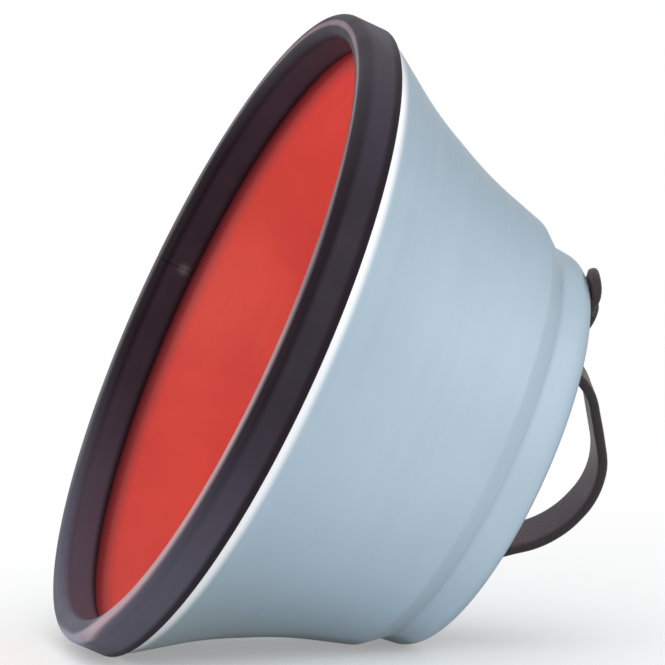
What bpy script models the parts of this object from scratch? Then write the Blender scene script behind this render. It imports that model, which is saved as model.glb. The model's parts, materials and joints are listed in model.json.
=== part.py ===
"""A trombone plunger mute lying on its side: a spun aluminium bell with a red lining, a rubber trim on its
rim, and a leather hand strap that two screws hold on its back.

Metres, +Z up. Each piece is modelled in the mute's own frame, whose Z runs along the mute's axis from the
mouth (0) to the back, and whose X is up on the mute. The mute is then laid down with its mouth towards -X
and its back towards +X, so that it rests on the rim trim and on the edge of the back.
"""

import bisect
import math

import bmesh
import bpy
from mathutils import Matrix, Vector

# Fits
GAP = 0.0003  # between pieces that touch
HOLE_CLEARANCE = 0.0003  # round a screw, in each hole that it passes through
TURN_STEPS = 56  # facets round the mute; one facet, not an edge, faces straight down
SMALL_STEPS = 16  # facets round a fastener
HEX_STEPS = 6
ARC_ERROR = 0.00007  # most that the facets of a rounded corner may cut off it

# Bell: outside radii, and lengths along the axis
LIP_RADIUS = 0.0731
LIP_LENGTH = 0.0092
FLARE_LENGTH = 0.0470  # from the lip to the step
FLARE_UPPER_AT = 0.0142  # where the flare's two bends are, from the lip
FLARE_UPPER_RADIUS = 0.0638
FLARE_LOWER_AT = 0.0317
FLARE_LOWER_RADIUS = 0.0558
STEP_RADIUS = 0.0515
STEP_LENGTH = 0.0050
TAIL_RADIUS = 0.0476
TAIL_LENGTH = 0.0087
TAIL_TAPER = 0.0008  # how much narrower the back is than the tail at its step
BELL_WALL = 0.0010
LIP_FILLET = 0.0030
FLARE_CURVE = 0.0900
STEP_FILLET = 0.0035
TAIL_FILLET = 0.0030
BACK_FILLET = 0.0045

# Red lining inside the bell
LINING_WALL = 0.0005

# Rubber trim, a channel over the lip
TRIM_WALL = 0.0016
TRIM_NOSE = 0.0023
TRIM_OUTER_DEPTH = 0.0095
TRIM_INNER_DEPTH = 0.0088
TRIM_NOSE_FILLET = 0.0021
TRIM_EDGE_FILLET = 0.0005
TRIM_JOINT_WIDTH = 0.0003
TRIM_JOINT_ANGLE = math.radians(-82)  # round the axis, from the top; on the far side, above its middle

# Hand strap: reaches are along the strap from the mute's axis towards the upper foot, heights above the back
STRAP_TURN = math.radians(17.7)  # the strap's line round the axis, from the top
STRAP_WIDTH = 0.0132
STRAP_THICKNESS = 0.0023
STRAP_BEND_INSET = 0.0121  # from each screw in to the bend at its foot
STRAP_BEND_FILLET = 0.0070
STRAP_SHOULDER_REACH = -0.0097  # the arch leans: a shoulder over the lower leg, a crown and a knee
STRAP_SHOULDER_HEIGHT = 0.0195
STRAP_SHOULDER_FILLET = 0.0209
STRAP_CROWN_REACH = 0.0059
STRAP_CROWN_HEIGHT = 0.0233
STRAP_CROWN_FILLET = 0.0168
STRAP_KNEE_INSET = 0.0017  # from the upper bend in to the knee above it
STRAP_KNEE_HEIGHT = 0.0094
STRAP_KNEE_FILLET = 0.0300
STRAP_OVERHANG = 0.0029  # how much longer the upper end is, where it droops over the back's edge
STRAP_DROOP_LENGTH = 0.0032
STRAP_DROOP = math.radians(34)
STRAP_DROOP_FILLET = 0.0080
STRAP_DIMPLE = 0.0009  # how deep the screws press their washers into the leather
STRAP_END_STEPS = 5  # facets in each quarter of its round ends
STRAP_LEAST_STEP = 0.0003

# Strap fasteners: an M4 screw with a low head, a washer on the leather, two washers inside and a cap nut
SCREW_INSET = 0.0088  # from the back's corner in to the screws, so that the inside washers lie on its flat
SCREW_RADIUS = 0.0020
SCREW_LENGTH = 0.0120
SCREW_TIP_CHAMFER = 0.0005
HEAD_RADIUS = 0.0038
HEAD_HEIGHT = 0.0014
HEAD_FILLET = 0.0011
RECESS_LENGTH = 0.0034
RECESS_WIDTH = 0.0008
RECESS_DEPTH = 0.0009
STRAP_WASHER_RADIUS = 0.0045
STRAP_WASHER_THICKNESS = 0.0007
WASHER_EDGE_FILLET = 0.0002
FIBRE_WASHER_RADIUS = 0.0044
FIBRE_WASHER_THICKNESS = 0.0008
STEEL_WASHER_RADIUS = 0.0042
STEEL_WASHER_THICKNESS = 0.0008
NUT_FLATS = 0.0070
NUT_HEIGHT = 0.0032
NUT_CHAMFER = 0.0003
DOME_RADIUS = 0.0032
DOME_FILLET = 0.0029
DOME_WALL = 0.0010

# Places along the axis from the mouth, and along the strap from the axis
BACK_RADIUS = TAIL_RADIUS - TAIL_TAPER
SCREW_REACH = BACK_RADIUS - SCREW_INSET
LIP_FRONT = TRIM_NOSE + GAP
LIP_END = LIP_FRONT + LIP_LENGTH
STEP_AT = LIP_END + FLARE_LENGTH
TAIL_AT = STEP_AT + STEP_LENGTH
BACK_AT = TAIL_AT + TAIL_LENGTH
LINING_FLOOR_AT = BACK_AT - BELL_WALL - GAP - LINING_WALL
STRAP_TOP_AT = BACK_AT + GAP + STRAP_THICKNESS
STRAP_WASHER_AT = STRAP_TOP_AT - STRAP_DIMPLE + GAP
STRAP_BEND_REACH = SCREW_REACH - STRAP_BEND_INSET
STRAP_TIP_REACH = SCREW_REACH + STRAP_WIDTH / 2

MERGE = 0.00001
CUTTER_LENGTH = 0.3  # longer than any piece
HOLE_REACH = 0.03  # how far a screw's hole is cut each way from the back
TILT_HALVINGS = 60


def rounded(corners):
    """A line of (x, y) points through corners (x, y, fillet), with an arc at each filleted corner."""
    points = []
    for index, (x, y, fillet) in enumerate(corners):
        here = Vector((x, y))
        if not fillet:
            points.append(here)
            continue
        before = Vector(corners[index - 1][:2]) - here
        after = Vector(corners[(index + 1) % len(corners)][:2]) - here
        turn = math.pi - before.angle(after)
        room = min(before.length, after.length) / 2
        radius = min(fillet, room / math.tan(turn / 2))
        step_angle = 2 * math.acos(max(1 - ARC_ERROR / radius, 0))
        steps = max(math.ceil(turn / step_angle), 2)
        start = here + before.normalized() * radius * math.tan(turn / 2)
        towards = (before.normalized() + after.normalized()).normalized()
        centre = here + towards * radius / math.cos(turn / 2)
        spoke = start - centre
        side = math.copysign(1, before.cross(after))
        for step in range(steps + 1):
            points.append(centre + Matrix.Rotation(-side * turn * step / steps, 2) @ spoke)
    return points


def inside_of(points, distance):
    """The open line moved by a distance to the right of its direction, with mitred corners."""
    moved = []
    for index, point in enumerate(points):
        normals = []
        for start, end in ((index - 1, index), (index, index + 1)):
            if 0 <= start and end < len(points):
                along = (points[end] - points[start]).normalized()
                normals.append(Vector((along.y, -along.x)))
        middle = sum(normals, Vector((0, 0))).normalized()
        moved.append(point + middle * distance / middle.dot(normals[0]))
    return moved


def bell_line():
    """The bell's outside from the middle of the back to the front of the lip, as (radius, along)."""
    return rounded([
        (0, BACK_AT, 0),
        (BACK_RADIUS, BACK_AT, BACK_FILLET),
        (TAIL_RADIUS, TAIL_AT, TAIL_FILLET),
        (STEP_RADIUS, STEP_AT, STEP_FILLET),
        (FLARE_LOWER_RADIUS, LIP_END + FLARE_LOWER_AT, FLARE_CURVE),
        (FLARE_UPPER_RADIUS, LIP_END + FLARE_UPPER_AT, FLARE_CURVE),
        (LIP_RADIUS, LIP_END, LIP_FILLET),
        (LIP_RADIUS, LIP_FRONT, 0),
    ])


def lining_line():
    """The lining's outside, which follows the inside of the bell's wall."""
    line = inside_of(bell_line(), BELL_WALL + GAP)
    line[0].x = 0
    return line


def trim_outline():
    """The rubber channel's section as (radius, along): down its outside, round the nose and up inside."""
    outside = LIP_RADIUS + GAP + TRIM_WALL
    lip_inside = LIP_RADIUS - BELL_WALL - GAP - LINING_WALL
    inside = lip_inside - GAP - TRIM_WALL
    return rounded([
        (outside, TRIM_OUTER_DEPTH, TRIM_EDGE_FILLET),
        (outside, 0, TRIM_NOSE_FILLET),
        (inside, 0, TRIM_NOSE_FILLET),
        (inside, TRIM_INNER_DEPTH, TRIM_EDGE_FILLET),
        (lip_inside - GAP, TRIM_INNER_DEPTH, 0),
        (lip_inside - GAP, TRIM_NOSE, 0),
        (LIP_RADIUS + GAP, TRIM_NOSE, 0),
        (LIP_RADIUS + GAP, TRIM_OUTER_DEPTH, 0),
    ])


def strap_line():
    """The strap's underside from its lower tip to its upper one, as (reach, height over the back's clearance)."""
    droop_reach = STRAP_TIP_REACH + STRAP_OVERHANG - STRAP_DROOP_LENGTH * math.cos(STRAP_DROOP)
    return rounded([
        (-STRAP_TIP_REACH, 0, 0),
        (-STRAP_BEND_REACH, 0, STRAP_BEND_FILLET),
        (STRAP_SHOULDER_REACH, STRAP_SHOULDER_HEIGHT, STRAP_SHOULDER_FILLET),
        (STRAP_CROWN_REACH, STRAP_CROWN_HEIGHT, STRAP_CROWN_FILLET),
        (STRAP_BEND_REACH - STRAP_KNEE_INSET, STRAP_KNEE_HEIGHT, STRAP_KNEE_FILLET),
        (STRAP_BEND_REACH, 0, STRAP_BEND_FILLET),
        (droop_reach, 0, STRAP_DROOP_FILLET),
        (STRAP_TIP_REACH + STRAP_OVERHANG, -STRAP_DROOP_LENGTH * math.sin(STRAP_DROOP), 0),
    ])


def material(name, colour, roughness, metallic):
    """A plain Principled material."""
    made = bpy.data.materials.new(name)
    made.use_nodes = True
    shader = made.node_tree.nodes["Principled BSDF"]
    shader.inputs["Base Color"].default_value = (*colour, 1)
    shader.inputs["Roughness"].default_value = roughness
    shader.inputs["Metallic"].default_value = metallic
    return made


def new_object(name, mesh, frame, finish=None):
    """An object in the mute's collection, or a cutter where it has no finish."""
    made = bpy.data.objects.new(name, mesh)
    made.parent = frame
    if finish:
        mesh.materials.append(finish)
        PARTS.objects.link(made)
    else:
        made.hide_render = True
        made.display_type = "WIRE"
        CUTTERS.objects.link(made)
    return made


def turned(name, points, frame, finish=None, steps=SMALL_STEPS, closed=True):
    """A piece turned round its own Z from (radius, along) points: a whole section, or an open skin."""
    mesh = bpy.data.meshes.new(name)
    shape = bmesh.new()
    line = [shape.verts.new((x, 0, y)) for x, y in points]
    for start, end in zip(line, line[1:] + line[:1] if closed else line[1:]):
        shape.edges.new((start, end))
    shape.to_mesh(mesh)
    shape.free()
    made = new_object(name, mesh, frame, finish)
    made.rotation_euler.z = math.pi / steps
    screw = made.modifiers.new("turn", "SCREW")
    screw.steps = steps
    screw.render_steps = steps
    screw.use_merge_vertices = True
    screw.merge_threshold = MERGE
    screw.use_smooth_shade = True
    return made


def thicken(made, wall, side):
    """Gives an open skin its wall, on its outside (1) or its inside (-1)."""
    solidify = made.modifiers.new("wall", "SOLIDIFY")
    solidify.thickness = wall
    solidify.offset = side
    solidify.use_even_offset = True


def combine(made, other, operation):
    """Cuts the other object from this one, joins it to it or keeps what they share."""
    boolean = made.modifiers.new(operation.lower(), "BOOLEAN")
    boolean.operation = operation
    boolean.object = other


def box(name, size, place, frame, turn=0.0):
    """A cutting block."""
    mesh = bpy.data.meshes.new(name)
    shape = bmesh.new()
    bmesh.ops.create_cube(shape, size=1)
    bmesh.ops.scale(shape, vec=size, verts=shape.verts)
    shape.to_mesh(mesh)
    shape.free()
    made = new_object(name, mesh, frame)
    made.location = place
    made.rotation_euler.z = turn
    return made


def rod_points(radius, low, high):
    """A plain round rod between two heights."""
    return [(0, high), (radius, high), (radius, low), (0, low)]


def dimpled_hole_points():
    """A screw's hole through the strap, under the dimple that its washer sits in."""
    hole_radius = SCREW_RADIUS + HOLE_CLEARANCE
    dimple_radius = STRAP_WASHER_RADIUS + HOLE_CLEARANCE
    return [
        (0, BACK_AT + HOLE_REACH),
        (dimple_radius, BACK_AT + HOLE_REACH),
        (dimple_radius, STRAP_TOP_AT - STRAP_DIMPLE),
        (hole_radius, STRAP_TOP_AT - STRAP_DIMPLE),
        (hole_radius, BACK_AT - HOLE_REACH),
        (0, BACK_AT - HOLE_REACH),
    ]


def ring_points(outer, inner, low, high, fillet):
    """A flat washer whose top outer edge is rounded."""
    return rounded([
        (inner, high, 0),
        (outer, high, fillet),
        (outer, low, 0),
        (inner, low, 0),
    ])


def make_bell(mute, holes):
    """The spun bell: a straight lip, a flare, a step down to the tail, and a flat back."""
    finish = material("satin_aluminium", (0.42, 0.53, 0.62), 0.38, 0.85)
    bell = turned("bell_shell", bell_line(), mute, finish, TURN_STEPS, closed=False)
    thicken(bell, BELL_WALL, -1)
    for hole in holes:
        combine(bell, hole, "DIFFERENCE")


def make_lining(mute, holes):
    """The red lining, a thin skin inside the bell."""
    finish = material("red_lining", (0.62, 0.07, 0.05), 0.45, 0.0)
    lining = turned("bell_lining", lining_line(), mute, finish, TURN_STEPS, closed=False)
    thicken(lining, LINING_WALL, -1)
    for hole in holes:
        combine(lining, hole, "DIFFERENCE")


def make_trim(mute):
    """The rubber channel pushed over the lip, cut to length and butted."""
    finish = material("black_rubber", (0.028, 0.024, 0.030), 0.5, 0.0)
    trim = turned("rim_trim", trim_outline(), mute, finish, TURN_STEPS)
    outward = Vector((math.cos(TRIM_JOINT_ANGLE), math.sin(TRIM_JOINT_ANGLE), 0))
    size = (CUTTER_LENGTH, TRIM_JOINT_WIDTH, CUTTER_LENGTH)
    joint = box("trim_joint_cut", size, outward * CUTTER_LENGTH / 2, mute, TRIM_JOINT_ANGLE)
    combine(trim, joint, "DIFFERENCE")


def strap_stations():
    """Places along the strap's underside, as (point, half width), close together where its ends are round."""
    line = strap_line()
    ways = [0.0]
    for start, end in zip(line, line[1:]):
        ways.append(ways[-1] + (end - start).length)
    length = ways[-1]
    radius = STRAP_WIDTH / 2
    angles = [math.pi / 2 * step / STRAP_END_STEPS for step in range(1, STRAP_END_STEPS + 1)]
    chosen = [radius * (1 - math.cos(angle)) for angle in angles]
    chosen += [length - way for way in chosen]
    for way in ways[1:-1]:
        if min(abs(way - other) for other in chosen) > STRAP_LEAST_STEP:
            chosen.append(way)
    stations = []
    for way in sorted(chosen):
        index = min(bisect.bisect_left(ways, way), len(line) - 1)
        share = (way - ways[index - 1]) / (ways[index] - ways[index - 1])
        from_tip = min(way, length - way, radius)
        half_width = math.sqrt(radius ** 2 - (radius - from_tip) ** 2)
        stations.append((line[index - 1].lerp(line[index], share), half_width))
    return stations


def make_strap(strap_frame, holes):
    """The leather strap: a round-ended band, flat at its feet, arched between them and dimpled at its screws."""
    finish = material("dark_leather", (0.055, 0.032, 0.032), 0.6, 0.0)
    stations = strap_stations()
    mesh = bpy.data.meshes.new("hand_strap")
    shape = bmesh.new()
    columns = 2
    bmesh.ops.create_grid(shape, x_segments=len(stations) - 1, y_segments=columns, size=0.5)
    for vertex in shape.verts:
        point, half_width = stations[round((vertex.co.x + 0.5) * (len(stations) - 1))]
        vertex.co = (point.x, vertex.co.y * 2 * half_width, BACK_AT + GAP + point.y)
    shape.to_mesh(mesh)
    shape.free()
    strap = new_object("hand_strap", mesh, strap_frame, finish)
    thicken(strap, STRAP_THICKNESS, 1)
    for hole in holes:
        combine(strap, hole, "DIFFERENCE")


def make_screw(where, foot):
    """The low-headed screw, with its head on the strap's washer. Returns where its tip is."""
    finish = material("screw_" + where, (0.05, 0.045, 0.045), 0.35, 0.9)
    seat = STRAP_WASHER_AT + STRAP_WASHER_THICKNESS + GAP
    top = seat + HEAD_HEIGHT
    tip = seat - SCREW_LENGTH
    screw = turned("strap_screw_" + where, rounded([
        (0, top, 0),
        (HEAD_RADIUS, top, HEAD_FILLET),
        (HEAD_RADIUS, seat, 0),
        (SCREW_RADIUS, seat, 0),
        (SCREW_RADIUS, tip + SCREW_TIP_CHAMFER, 0),
        (SCREW_RADIUS - SCREW_TIP_CHAMFER, tip, 0),
        (0, tip, 0),
    ]), foot, finish)
    for index in range(2):
        size = (RECESS_LENGTH, RECESS_WIDTH, 2 * RECESS_DEPTH)
        slot = box(f"recess_{where}_{index}", size, (0, 0, top), foot, index * math.pi / 2)
        combine(screw, slot, "DIFFERENCE")
    return tip


def make_washers(where, foot):
    """The washer in the leather, and the fibre and steel washers inside. Returns the nut's seat."""
    bore = SCREW_RADIUS + HOLE_CLEARANCE
    high = STRAP_WASHER_AT + STRAP_WASHER_THICKNESS
    points = ring_points(STRAP_WASHER_RADIUS, bore, STRAP_WASHER_AT, high, WASHER_EDGE_FILLET)
    finish = material("strap_washer_" + where, (0.05, 0.045, 0.045), 0.35, 0.9)
    turned("strap_washer_" + where, points, foot, finish)

    high = LINING_FLOOR_AT - GAP
    low = high - FIBRE_WASHER_THICKNESS
    finish = material("fibre_washer_" + where, (0.30, 0.05, 0.03), 0.8, 0.0)
    points = ring_points(FIBRE_WASHER_RADIUS, bore, low, high, WASHER_EDGE_FILLET)
    turned("fibre_washer_" + where, points, foot, finish)

    high = low - GAP
    low = high - STEEL_WASHER_THICKNESS
    finish = material("steel_washer_" + where, (0.55, 0.55, 0.56), 0.3, 1.0)
    points = ring_points(STEEL_WASHER_RADIUS, bore, low, high, WASHER_EDGE_FILLET)
    turned("steel_washer_" + where, points, foot, finish)
    return low - GAP


def make_nut(where, foot, seat, screw_tip):
    """The cap nut: a chamfered hexagon and a dome over the screw's tip."""
    finish = material("cap_nut_" + where, (0.62, 0.62, 0.64), 0.22, 1.0)
    corner = NUT_FLATS / 2 / math.cos(math.pi / HEX_STEPS)
    hexagon_points = rod_points(corner, seat - NUT_HEIGHT, seat)
    hexagon = turned("cap_nut_" + where, hexagon_points, foot, finish, HEX_STEPS)
    barrel = turned(f"nut_chamfer_{where}", [
        (0, seat),
        (corner - NUT_CHAMFER, seat),
        (corner + NUT_CHAMFER, seat - 2 * NUT_CHAMFER),
        (corner + NUT_CHAMFER, seat - NUT_HEIGHT + 2 * NUT_CHAMFER),
        (corner - NUT_CHAMFER, seat - NUT_HEIGHT),
        (0, seat - NUT_HEIGHT),
    ], foot)
    bore_end = screw_tip - GAP
    dome_end = bore_end - DOME_WALL
    dome = turned(f"nut_dome_{where}", rounded([
        (0, seat - NUT_HEIGHT / 2, 0),
        (DOME_RADIUS, seat - NUT_HEIGHT / 2, 0),
        (DOME_RADIUS, dome_end, DOME_FILLET),
        (0, dome_end, 0),
    ]), foot)
    bore_points = rod_points(SCREW_RADIUS + HOLE_CLEARANCE, bore_end, seat + GAP)
    bore = turned(f"nut_bore_{where}", bore_points, foot)
    combine(hexagon, barrel, "INTERSECT")
    combine(hexagon, dome, "UNION")
    combine(hexagon, bore, "DIFFERENCE")


def outline_reach(points, tilt):
    """How far an outline reaches below the axis, square to the table, when the axis dips by the tilt."""
    facet = math.cos(math.pi / TURN_STEPS)
    return max(y * math.sin(tilt) + x * facet * math.cos(tilt) for x, y in points)


def rest_tilt():
    """The dip of the axis when the mute lies on its side, on its rim trim and its bell."""
    low = 0.0
    high = math.pi / 2
    for _ in range(TILT_HALVINGS):
        middle = (low + high) / 2
        if outline_reach(trim_outline(), middle) > outline_reach(bell_line(), middle):
            low = middle
        else:
            high = middle
    return low


def lay_down(mute):
    """Turns the mute onto its side, and puts the middle of its underside at the origin."""
    mute.rotation_euler = (0, -math.pi / 2 - rest_tilt(), math.pi)
    bpy.context.view_layer.update()
    graph = bpy.context.evaluated_depsgraph_get()
    points = []
    for piece in PARTS.objects:
        if piece.type == "MESH":
            mesh = piece.evaluated_get(graph).data
            points += [piece.matrix_world @ vertex.co for vertex in mesh.vertices]
    low = [min(point[axis] for point in points) for axis in range(3)]
    high = [max(point[axis] for point in points) for axis in range(3)]
    mute.location = (-(low[0] + high[0]) / 2, -(low[1] + high[1]) / 2, -low[2])


for old in list(bpy.data.objects):
    bpy.data.objects.remove(old, do_unlink=True)
PARTS = bpy.data.collections.new("trombone_plunger_mute")
CUTTERS = bpy.data.collections.new("cutters")
bpy.context.scene.collection.children.link(PARTS)
bpy.context.scene.collection.children.link(CUTTERS)

mute_frame = bpy.data.objects.new("mute_frame", None)
strap_frame = bpy.data.objects.new("strap_frame", None)
PARTS.objects.link(mute_frame)
PARTS.objects.link(strap_frame)
strap_frame.parent = mute_frame
strap_frame.rotation_euler.z = STRAP_TURN

screw_holes = []
dimpled_holes = []
for side, where in ((1, "upper"), (-1, "lower")):
    foot = bpy.data.objects.new("strap_foot_" + where, None)
    PARTS.objects.link(foot)
    foot.parent = strap_frame
    foot.location.x = side * SCREW_REACH
    hole_points = rod_points(SCREW_RADIUS + HOLE_CLEARANCE, BACK_AT - HOLE_REACH, BACK_AT + HOLE_REACH)
    screw_holes.append(turned("screw_hole_" + where, hole_points, foot))
    dimpled_holes.append(turned("dimpled_hole_" + where, dimpled_hole_points(), foot))
    screw_tip = make_screw(where, foot)
    nut_seat = make_washers(where, foot)
    make_nut(where, foot, nut_seat, screw_tip)

make_bell(mute_frame, screw_holes)
make_lining(mute_frame, screw_holes)
make_trim(mute_frame)
make_strap(strap_frame, dimpled_holes)
lay_down(mute_frame)
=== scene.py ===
"""The looks of a trombone plunger mute lying on its side: a satin blue-grey aluminium bell with a red
inside, a black rubber trim round its mouth and a dark leather strap on its back, on a pale floor in soft
studio light.

Metres. The pieces are modelled in the mute's own frame, whose Z runs along its axis from the mouth (0) to
the back, whose X is up on the mute and whose Y is towards the viewer. The frame's record says where that
lies.
"""

import bisect
import json
import math
from collections import namedtuple

import bmesh
import bpy
from mathutils import Matrix, Vector
from mathutils.noise import noise as noise_at


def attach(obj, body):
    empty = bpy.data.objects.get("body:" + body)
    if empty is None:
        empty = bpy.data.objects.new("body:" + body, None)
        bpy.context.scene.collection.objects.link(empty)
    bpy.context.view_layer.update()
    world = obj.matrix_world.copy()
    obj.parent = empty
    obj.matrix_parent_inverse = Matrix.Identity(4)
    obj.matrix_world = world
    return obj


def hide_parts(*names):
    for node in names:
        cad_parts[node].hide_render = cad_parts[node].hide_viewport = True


# Fits, as in the solids
GAP = 0.0003
HOLE_CLEARANCE = 0.0003
SOLID_STEPS = 56  # facets of the turned solids; the round pieces here touch the middles of the facets
ROUND = math.cos(math.pi / SOLID_STEPS)

# Bell
LIP_RADIUS = 0.0731
LIP_LENGTH = 0.0092
FLARE_LENGTH = 0.0470
FLARE_UPPER_AT = 0.0142
FLARE_UPPER_RADIUS = 0.0638
FLARE_LOWER_AT = 0.0317
FLARE_LOWER_RADIUS = 0.0558
STEP_RADIUS = 0.0515
STEP_LENGTH = 0.0050
TAIL_RADIUS = 0.0476
TAIL_LENGTH = 0.0087
TAIL_TAPER = 0.0008
BELL_WALL = 0.0010
LIP_FILLET = 0.0030
FLARE_CURVE = 0.0900
STEP_FILLET = 0.0035
TAIL_FILLET = 0.0030
BACK_FILLET = 0.0045
LINING_WALL = 0.0005

# Rubber trim
TRIM_WALL = 0.0016
TRIM_NOSE = 0.0023
TRIM_OUTER_DEPTH = 0.0095
TRIM_INNER_DEPTH = 0.0088
TRIM_NOSE_FILLET = 0.0021
TRIM_EDGE_FILLET = 0.0005
TRIM_JOINT_WIDTH = 0.00006
TRIM_JOINT_ANGLE = math.radians(-82)
TRIM_END_FILLET = 0.00020

# Hand strap
STRAP_TURN = math.radians(17.7)
STRAP_WIDTH = 0.0132
STRAP_THICKNESS = 0.0023
STRAP_BEND_INSET = 0.0121
STRAP_BEND_FILLET = 0.0070
STRAP_SHOULDER_REACH = -0.0097
STRAP_SHOULDER_HEIGHT = 0.0195
STRAP_SHOULDER_FILLET = 0.0209
STRAP_CROWN_REACH = 0.0059
STRAP_CROWN_HEIGHT = 0.0233
STRAP_CROWN_FILLET = 0.0168
STRAP_KNEE_INSET = 0.0017
STRAP_KNEE_HEIGHT = 0.0094
STRAP_KNEE_FILLET = 0.0300
STRAP_OVERHANG = 0.0029
STRAP_DROOP_LENGTH = 0.0032
STRAP_DROOP = math.radians(34)
STRAP_DROOP_FILLET = 0.0080
STRAP_DIMPLE = 0.0009
STRAP_EDGE_ROUND = 0.0010
STRAP_EDGE_POWER = 2.4  # 2 is a round edge, more is squarer
DIMPLE_FLAT = 0.0050  # from a screw, how far its dimple is flat, and how far it reaches
DIMPLE_REACH = 0.0078
WRINKLE_DEPTH = 0.00012
WRINKLE_SPACING = 0.0014
WRINKLE_REACH = 0.0040  # how far the wrinkles go each way from a foot's bend
WRINKLE_WAVER = 1.5  # radians by which a wrinkle strays as it crosses the strap
WRINKLE_WAVER_CELLS = 1.5  # cells of noise across the strap
LEATHER_SWELL = 0.00010  # how uneven the leather is
LEATHER_SWELL_CELLS = 220  # cells of noise in a metre

# Strap fasteners
SCREW_INSET = 0.0088
SCREW_RADIUS = 0.0020
SCREW_LENGTH = 0.0120
SCREW_TIP_CHAMFER = 0.0005
HEAD_RADIUS = 0.0038
HEAD_HEIGHT = 0.0014
HEAD_FILLET = 0.0011
RECESS_LENGTH = 0.0034
RECESS_WIDTH = 0.0008
RECESS_DEPTH = 0.0009
STRAP_WASHER_RADIUS = 0.0045
STRAP_WASHER_THICKNESS = 0.0007
FIBRE_WASHER_RADIUS = 0.0044
FIBRE_WASHER_THICKNESS = 0.0008
STEEL_WASHER_RADIUS = 0.0042
STEEL_WASHER_THICKNESS = 0.0008
WASHER_EDGE_FILLET = 0.0002
NUT_FLATS = 0.0070
NUT_HEIGHT = 0.0032
NUT_CHAMFER = 0.0003
DOME_RADIUS = 0.0032
DOME_FILLET = 0.0029
DOME_WALL = 0.0010

# Radii and places that follow, along the axis and along the strap from the axis
BACK_RADIUS = TAIL_RADIUS - TAIL_TAPER
LINED_LIP_RADIUS = LIP_RADIUS - BELL_WALL - GAP - LINING_WALL
TRIM_INSIDE = LINED_LIP_RADIUS - GAP - TRIM_WALL
TRIM_OUTSIDE = LIP_RADIUS + GAP + TRIM_WALL
BORE_RADIUS = SCREW_RADIUS + HOLE_CLEARANCE
SCREW_REACH = BACK_RADIUS - SCREW_INSET
LIP_FRONT = TRIM_NOSE + GAP
LIP_END = LIP_FRONT + LIP_LENGTH
STEP_AT = LIP_END + FLARE_LENGTH
TAIL_AT = STEP_AT + STEP_LENGTH
BACK_AT = TAIL_AT + TAIL_LENGTH
LINING_FLOOR_AT = BACK_AT - BELL_WALL - GAP - LINING_WALL
STRAP_TOP_AT = BACK_AT + GAP + STRAP_THICKNESS
STRAP_WASHER_AT = STRAP_TOP_AT - STRAP_DIMPLE + GAP
STRAP_BEND_REACH = SCREW_REACH - STRAP_BEND_INSET
STRAP_TIP_REACH = SCREW_REACH + STRAP_WIDTH / 2

# How finely the pieces are made
BELL_STEPS = 256
SMALL_STEPS = 48
HEX_STEPS = 6
STRAP_STEPS = 240
STRAP_COLUMNS = 26
STRAP_TIP_STEPS = 14
TRIM_END_STEPS = 4
ARC_ERROR = 0.000004
SHARP_ANGLE = math.radians(32)
ON_AXIS = 1e-9  # a smaller radius is on the axis
WELD_DISTANCE = 0.000001
DRILL_REACH = 0.010  # how far the drill for the screws goes each way from the back's plane

# Painted light and shade on the bell and its lining: a pair is where a mark starts and where it is full
LIP_HIGHLIGHT_BLEND = 0.0013  # how softly the painted highlight on the lip meets the coat
BELL_LOW_SHADE_HEIGHTS = (-0.030, -0.072)  # painted shade low down; heights are on the mute's X, and depths on its Z
UNDERSIDE_COSINES = (-0.925, -0.988)  # of the angle from the bell's top: painted shade below
BACK_SHADE_RADII = (0.0415, 0.0430)  # painted shade darkens the coat in a ring at the edge of the back
BACK_SHADE_DEPTHS = (BACK_AT - 0.0012, BACK_AT - 0.0003)
# painted light on the red high up
RED_LIGHT_HEIGHTS = (0.035, 0.065)
# painted shade on the red beside the rubber
RED_TRIM_SHADE_DEPTHS = (TRIM_INNER_DEPTH + 0.0052, TRIM_INNER_DEPTH)

# Wear and painted light and shade on the rubber, in the same way
RUBBER_LOW_SCUFF_AND_SHEEN = (-0.006, -0.072)  # heights of scuffs from lying on tables, with painted sheen on them
RUBBER_HIGH_SCUFF_AND_SHEEN = (0.030, 0.072)
NOSE_SHADE_DEPTHS = (0.0034, 0.0018)  # painted shade: the rubber is blackest towards its nose and at its rear edge
REAR_SHADE_DEPTHS = (0.0070, 0.0084)
HIGHLIGHT_LINE_INSET = 0.0027  # from the trim's inside to the middle of the painted highlight along its nose
HIGHLIGHT_LINE_REACH = (0.0022, 0.0008)  # from the line's middle
HIGHLIGHT_LINE_DEPTHS = (0.0020, 0.0010)
THINNER_LINE_HEIGHTS = (0.020, 0.055)  # high up the line thins to a share of its width
THINNER_LINE_SHARE = 0.4
CROSSING_HEIGHTS = (-0.040, -0.062)  # low down the line crosses to the trim's outer edge,
CROSSING_SIDES = (0.036, 0.004)  # on its way from the viewer's side to the far one
PALER_LOW_HEIGHTS = (0.070, -0.045)  # the line is paler low down on the viewer's side,
PALER_SIDES = (-0.012, 0.012)
PALER_HIGH_HEIGHTS = (0.030, 0.060)  # and a little paler high up
REST_HEIGHTS = (-0.0722, -0.0748)  # the edge that the mute lies on is rubbed pale, with a painted reflection of the floor
REST_DEPTHS = (0.0050, 0)
JOINT_GLINT_RADIUS = 0.0026  # a painted glint at the trim's joint, with a ragged outline
JOINT_GLINT_DEPTH = 0.0062
JOINT_GLINT_RAGGEDNESS = 0.0008  # how uneven its outline is

# Leather, as shares of the way from the strap's inner face to its outer one
OUTER_FACE_SHARES = (0.25, 0.45)
EDGE_SHARES_INNER = (0.02, 0.2)  # the edge is dark between the two faces
EDGE_SHARES_OUTER = (0.98, 0.8)

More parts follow.
